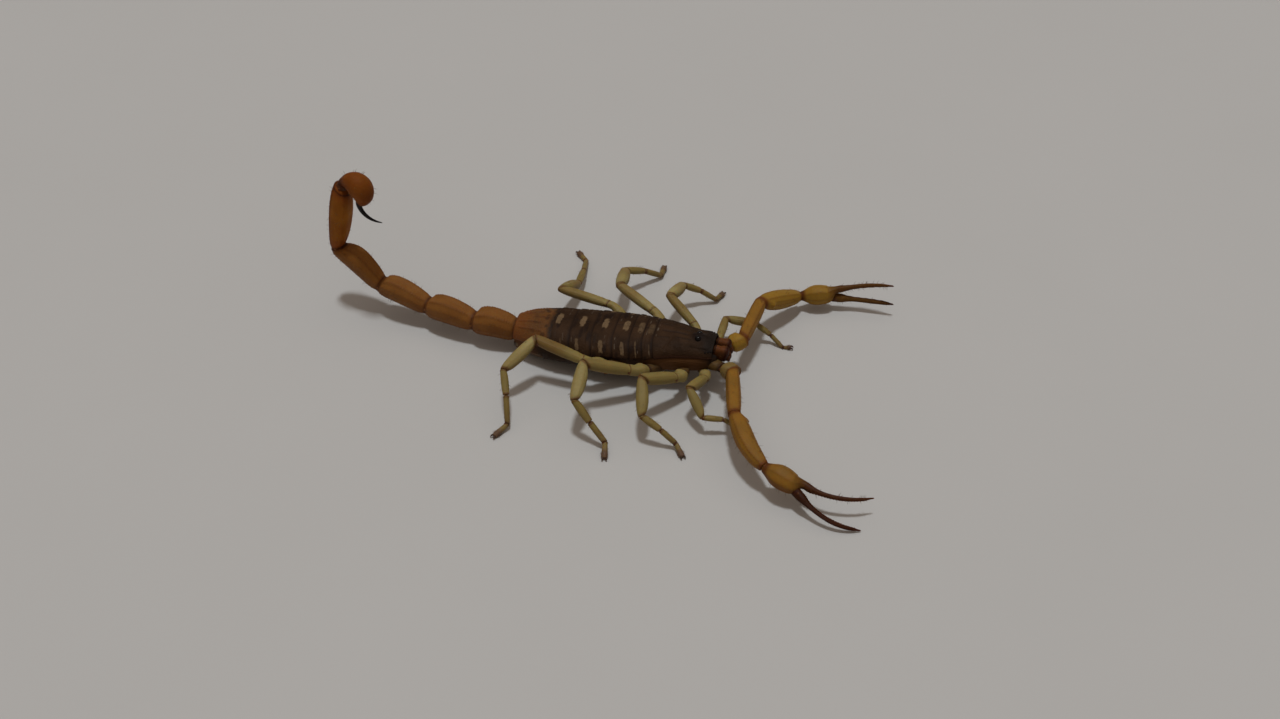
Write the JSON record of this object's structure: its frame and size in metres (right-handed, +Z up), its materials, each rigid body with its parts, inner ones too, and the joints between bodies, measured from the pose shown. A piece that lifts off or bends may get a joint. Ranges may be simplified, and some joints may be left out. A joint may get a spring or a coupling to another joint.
{
  "type": "scorpion",
  "caption": "Life-size still model of a slender thick-tailed scorpion walking with open claws and its tail curled up, standing on eight feet.",
  "frame": {"origin": "middle of the bounding box's footprint, on the floor under the feet", "axes": "+X towards the head, along the body, +Y towards the animal's left, +Z up"},
  "size_m": [0.0656, 0.0378, 0.0183],
  "materials": {
    "back_shell": "dark brown horny shell, finely granular, satin gloss",
    "rear_shell": "orange-brown horny shell, satin gloss",
    "belly_shell": "brown horny shell, smooth, satin gloss",
    "tail_shell": "amber-brown keeled horny shell, satin gloss",
    "sting_bulb": "reddish-brown horny shell, satin gloss",
    "sting": "black horn, polished",
    "palp_shell": "orange-amber keeled horny shell, satin gloss",
    "finger_shell": "dark red-brown horn, satin gloss",
    "leg_shell": "straw-olive horny shell, satin gloss",
    "jaw": "red-brown horn, satin gloss",
    "eye": "black cornea, polished",
    "comb": "pale straw horn, satin",
    "joint_skin": "pale tan soft joint skin, satin",
    "bristle": "stiff red-brown bristles",
    "claw": "dark horn, polished"
  },
  "bodies": {
    "root": {"carapace": "back_shell", "eye_left": "eye", "chelicera_left": "jaw", "eye_right": "eye", "chelicera_right": "jaw", "tergite_1": "back_shell", "tergite_2": "back_shell", "tergite_3": "back_shell", "tergite_4": "back_shell", "tergite_5": "back_shell", "tergite_6": "back_shell", "tergite_7": "rear_shell", "belly": "belly_shell", "sternum": "belly_shell", "pectine_left": "comb", "pectine_right": "comb", "metasoma_1": "tail_shell", "metasoma_2": "tail_shell", "metasoma_3": "tail_shell", "metasoma_4": "tail_shell", "metasoma_5": "tail_shell", "vesicle": "sting_bulb", "aculeus": "sting", "palp_coxa_left": "leg_shell", "palp_trochanter_left": "palp_shell", "palp_femur_left": "palp_shell", "palp_patella_left": "palp_shell", "palp_hand_left": "palp_shell", "palp_finger_left": "finger_shell", "leg_left_1_femur": "leg_shell", "leg_left_1_patella": "leg_shell", "leg_left_1_tarsus": "leg_shell", "leg_left_2_femur": "leg_shell", "leg_left_2_patella": "leg_shell", "leg_left_2_tarsus": "leg_shell", "leg_left_3_femur": "leg_shell", "leg_left_3_patella": "leg_shell", "leg_left_3_tarsus": "leg_shell", "leg_left_4_femur": "leg_shell", "leg_left_4_patella": "leg_shell", "leg_left_4_tarsus": "leg_shell", "palp_coxa_right": "leg_shell", "palp_trochanter_right": "palp_shell", "palp_femur_right": "palp_shell", "palp_patella_right": "palp_shell", "palp_hand_right": "palp_shell", "palp_finger_right": "finger_shell", "leg_right_1_femur": "leg_shell", "leg_right_1_patella": "leg_shell", "leg_right_1_tarsus": "leg_shell", "leg_right_2_femur": "leg_shell", "leg_right_2_patella": "leg_shell", "leg_right_2_tarsus": "leg_shell", "leg_right_3_femur": "leg_shell", "leg_right_3_patella": "leg_shell", "leg_right_3_tarsus": "leg_shell", "leg_right_4_femur": "leg_shell", "leg_right_4_patella": "leg_shell", "leg_right_4_tarsus": "leg_shell"}
  },
  "joints": []
}
